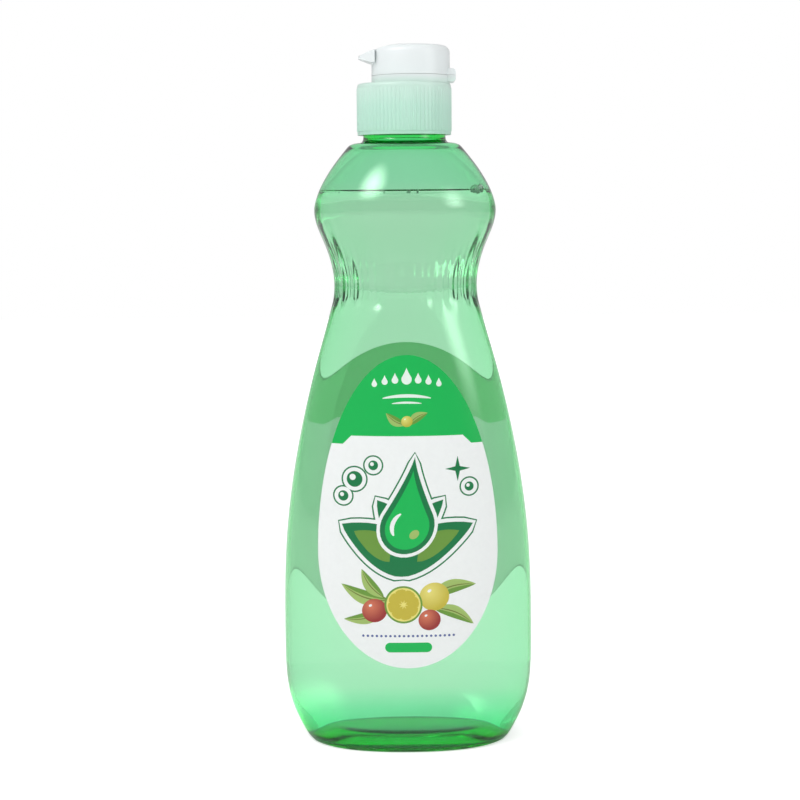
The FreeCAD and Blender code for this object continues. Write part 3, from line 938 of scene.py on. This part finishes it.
def makeLabel(node, side, shapes, material):
    form = labelForm
    egg = eggOutline()
    points, edges = [], []
    for outline in [egg] + [shape[0] for shape in shapes]:
        outline = divided(outline, form["grid"])
        start = len(points)
        points += [Vector((float(x), float(z))) for x, z in outline]
        edges += [(start + i, start + (i + 1) % len(outline)) for i in range(len(outline))]
    step = form["grid"]
    low, high = form["centre"] - form["lower"], form["centre"] + form["upper"]
    for row, z in enumerate(np.arange(low, high, step * form["rowShare"])):
        for x in np.arange(-form["halfWidth"] + step / 2 * (row % 2), form["halfWidth"], step):
            points.append(Vector((float(x), float(z))))
    found = delaunay_2d_cdt(points, edges, [], 0, 1e-4)  # points nearer than the last number become one
    flat = np.array([(p.x, p.y) for p in found[0]])
    triangles = np.array([t for t in found[2] if len(t) == 3])
    triangles = triangles[inside(egg, flat[triangles].mean(axis=1))]
    used, triangles = np.unique(triangles, return_inverse=True)
    flat, triangles = flat[used], triangles.reshape(-1, 3)
    middles = flat[triangles].mean(axis=1)
    inkOf = np.zeros(len(triangles), int)
    for k, shape in enumerate(shapes):
        inkOf[inside(shape[0], middles)] = k + 1
    front = labelColours(shapes, flat[triangles], inkOf)
    field = inside(shapes[0][0], middles)
    back = np.where(field[:, None], linear(inks["backGreen"]), linear(inks["backWhite"]))
    back = back[:, None, :].repeat(3, axis=1)

    places, normals = [], []
    for inset, facing in ((form["adhesive"] + form["film"], 1), (form["adhesive"], -1)):
        tree = skinTree(inset)
        for x, z in flat:
            start = Vector((-side * x, side * form["castFrom"], z))
            hit = tree.ray_cast(start, Vector((0, -side, 0)))[0]
            places.append(hit * mm)
            normals.append(skinNormal(*hit) * facing)
    count = len(flat)
    # the delaunay triangles turn the same way all over, so edges used once are the rim
    turns = {(a, b) for t in triangles.tolist() for a, b in zip(t, t[1:] + t[:1])}
    rim = [(b, a, a + count, b + count) for a, b in turns if (b, a) not in turns]
    faces = triangles.tolist() + (triangles[:, ::-1] + count).tolist() + rim
    mesh = bpy.data.meshes.new(node)
    mesh.from_pydata([tuple(p) for p in places], [], faces)
    mesh.polygons.foreach_set("use_smooth", [True] * len(faces))
    layer = mesh.color_attributes.new("ink", "FLOAT_COLOR", "CORNER")
    colours = np.vstack([front.reshape(-1, 3), back[:, ::-1].reshape(-1, 3)])
    colours = np.vstack([colours, np.tile(linear(inks["white"]), (4 * len(rim), 1))])
    layer.data.foreach_set("color", np.hstack([colours, np.ones((len(colours), 1))]).ravel().astype(np.float32))
    mesh.normals_split_custom_set_from_vertices([tuple(n) for n in normals])
    mesh.update()
    piece = addPiece(node + "Film", mesh, material)
    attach(piece, "bottle")
    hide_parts(node)
    return piece


filmFinish = {
    "roughness": 0.3,
    "frontLetsThrough": 0.3,  # share of the light that shines through each face of the film
    "rearLetsThrough": 0.8,
    "frontInkShare": 0.9,  # how much of the ink's colour that light takes on
    "rearInkShare": 0.4,
    "throughColour": (0.95, 0.99, 0.93, 1),  # the rest of that light
    "grainScale": 700.0,
    "grainShare": 0.05,
    "grainDepth": 0.04,
    "grainDistance": 0.0002,
}


def filmMaterial(name, letsThrough, inkShare):
    finish = filmFinish
    material, nodes, links, shader = newMaterial(name)
    ink = nodes.new("ShaderNodeAttribute")
    ink.attribute_name = "ink"
    grain = noiseBump(nodes, links, shader, finish["grainScale"], finish["grainDepth"], finish["grainDistance"])
    shade = nodes.new("ShaderNodeMapRange")
    shade.inputs["To Min"].default_value = 1 - finish["grainShare"]
    shade.inputs["To Max"].default_value = 1.0
    links.new(grain, shade.inputs["Value"])
    mixed = nodes.new("ShaderNodeVectorMath")
    mixed.operation = "SCALE"
    links.new(ink.outputs["Color"], mixed.inputs[0])
    links.new(shade.outputs["Result"], mixed.inputs["Scale"])
    links.new(mixed.outputs["Vector"], shader.inputs["Base Color"])
    shader.inputs["Roughness"].default_value = finish["roughness"]
    paler = nodes.new("ShaderNodeMix")
    paler.data_type = "RGBA"
    paler.inputs[0].default_value = inkShare
    paler.inputs[6].default_value = finish["throughColour"]
    links.new(mixed.outputs["Vector"], paler.inputs[7])
    through = nodes.new("ShaderNodeBsdfTranslucent")
    links.new(paler.outputs[2], through.inputs["Color"])
    both = nodes.new("ShaderNodeMixShader")
    both.inputs[0].default_value = letsThrough
    links.new(shader.outputs[0], both.inputs[1])
    links.new(through.outputs[0], both.inputs[2])
    links.new(both.outputs[0], nodes["Material Output"].inputs["Surface"])
    return material


frontFilm = filmMaterial("frontLabelFilm", filmFinish["frontLetsThrough"], filmFinish["frontInkShare"])
rearFilm = filmMaterial("rearLabelFilm", filmFinish["rearLetsThrough"], filmFinish["rearInkShare"])
frontLabel = makeLabel("front_label", -1, frontPrint(), frontFilm)
rearLabel = makeLabel("rear_label", 1, rearPrint(), rearFilm)
print("labels", len(frontLabel.data.polygons), len(rearLabel.data.polygons), "faces")

# Cap, lid and washer keep their solids
for node in ("cap_body", "flip_lid"):
    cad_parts[node].data.materials[0] = capPlastic
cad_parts["neck_seal"].data.materials[0] = sealMaterial()

# Floor, light and camera
studio = {
    "floorSize": 4.0,
    "floorColour": (0.86, 0.86, 0.86, 1),
    "floorRoughness": 0.8,
    "floorGlow": 0.5,
    "floorGlowForGlass": 0.05,
    "worldForDiffuse": 0.9,
    "worldForGloss": 0.5,
    "worldForGlass": 0.72,
    "key": {"at": (-0.75, -0.75, 0.95), "size": 0.95, "power": 11.8},
    "fill": {"at": (0.95, -0.55, 0.5), "size": 0.8, "power": 3.1},
    "target": (0.0, 0.0, 0.12),
    "softboxMiddle": 2.6,
    "bounces": 24,  # enough to see through wall, filling and wall again
}


def brightest(nodes, links, rays, levels):  # the level of whichever kind of ray it is
    last = None
    for kind, level in levels:
        term = nodes.new("ShaderNodeMath")
        term.operation = "MULTIPLY"
        term.inputs[1].default_value = level
        links.new(rays.outputs[kind], term.inputs[0])
        if last is not None:
            most = nodes.new("ShaderNodeMath")
            most.operation = "MAXIMUM"
            links.new(last.outputs[0], most.inputs[0])
            links.new(term.outputs[0], most.inputs[1])
            term = most
        last = term
    return last.outputs[0]


def makeFloor():
    half = studio["floorSize"] / 2
    mesh = bpy.data.meshes.new("floor")
    mesh.from_pydata([(-half, -half, 0), (half, -half, 0), (half, half, 0), (-half, half, 0)], [], [(0, 1, 2, 3)])
    material, nodes, links, shader = newMaterial("floorPaper")
    shader.inputs["Base Color"].default_value = studio["floorColour"]
    shader.inputs["Roughness"].default_value = studio["floorRoughness"]
    shader.inputs["Specular IOR Level"].default_value = 0.0
    rays = nodes.new("ShaderNodeLightPath")
    glow = nodes.new("ShaderNodeEmission")
    levels = (("Is Camera Ray", studio["floorGlow"]), ("Is Transmission Ray", studio["floorGlowForGlass"]))
    links.new(brightest(nodes, links, rays, levels), glow.inputs["Strength"])
    both = nodes.new("ShaderNodeAddShader")
    links.new(shader.outputs[0], both.inputs[0])
    links.new(glow.outputs[0], both.inputs[1])
    links.new(both.outputs[0], nodes["Material Output"].inputs["Surface"])
    floor = addPiece("floor", mesh, material)


def makeWorld():
    world = bpy.data.worlds.new("studio")
    scene.world = world
    world.use_nodes = True
    nodes, links = world.node_tree.nodes, world.node_tree.links
    rays = nodes.new("ShaderNodeLightPath")
    levels = (
        ("Is Camera Ray", 1.0),
        ("Is Transmission Ray", studio["worldForGlass"]),
        ("Is Glossy Ray", studio["worldForGloss"]),
        ("Is Diffuse Ray", studio["worldForDiffuse"]),
    )
    links.new(brightest(nodes, links, rays, levels), nodes["Background"].inputs["Strength"])
    nodes["Background"].inputs["Color"].default_value = (1, 1, 1, 1)


def softEdge(data):  # brightest in the middle, fading to its edge, as a softbox does
    data.use_nodes = True
    nodes, links = data.node_tree.nodes, data.node_tree.links
    place = nodes.new("ShaderNodeNewGeometry")
    apart = nodes.new("ShaderNodeVectorMath")
    apart.operation = "DISTANCE"
    apart.inputs[1].default_value = (0.5, 0.5, 0.0)
    links.new(place.outputs["Parametric"], apart.inputs[0])
    fade = nodes.new("ShaderNodeMapRange")
    fade.interpolation_type = "SMOOTHSTEP"
    fade.inputs["From Min"].default_value = 0.0
    fade.inputs["From Max"].default_value = 0.5
    fade.inputs["To Min"].default_value = studio["softboxMiddle"]
    fade.inputs["To Max"].default_value = 0.0
    links.new(apart.outputs["Value"], fade.inputs["Value"])
    links.new(fade.outputs["Result"], nodes["Emission"].inputs["Strength"])


def addLamp(name, facts):
    data = bpy.data.lights.new(name, "AREA")
    data.energy = facts["power"]
    data.size = facts["size"]
    softEdge(data)
    lamp = bpy.data.objects.new(name, data)
    lamp.location = facts["at"]
    towards = Vector(studio["target"]) - Vector(facts["at"])
    lamp.rotation_euler = towards.to_track_quat("-Z", "Y").to_euler()
    scene.collection.objects.link(lamp)


cameraView = {
    "at": (-0.0022, -0.58, 0.188),
    "down": 6.95,  # degrees below level
    "roll": -0.47,
    "lens": 76.8,
    "sensor": 36.0,
    "clipStart": 0.01,
}


def makeCamera():
    data = bpy.data.cameras.new("camera")
    data.lens = cameraView["lens"]
    data.sensor_width = cameraView["sensor"]
    data.clip_start = cameraView["clipStart"]
    camera = bpy.data.objects.new("camera", data)
    camera.location = cameraView["at"]
    look = Euler((math.radians(90 - cameraView["down"]), 0, 0)).to_quaternion()
    roll = Euler((0, 0, math.radians(cameraView["roll"]))).to_quaternion()
    camera.rotation_mode = "QUATERNION"
    camera.rotation_quaternion = look @ roll
    scene.collection.objects.link(camera)
    scene.camera = camera


makeFloor()
makeWorld()
addLamp("keyLamp", studio["key"])
addLamp("fillLamp", studio["fill"])
makeCamera()
scene.view_settings.view_transform = "Standard"
scene.cycles.max_bounces = studio["bounces"]
scene.cycles.transmission_bounces = studio["bounces"]
print("studio ready")
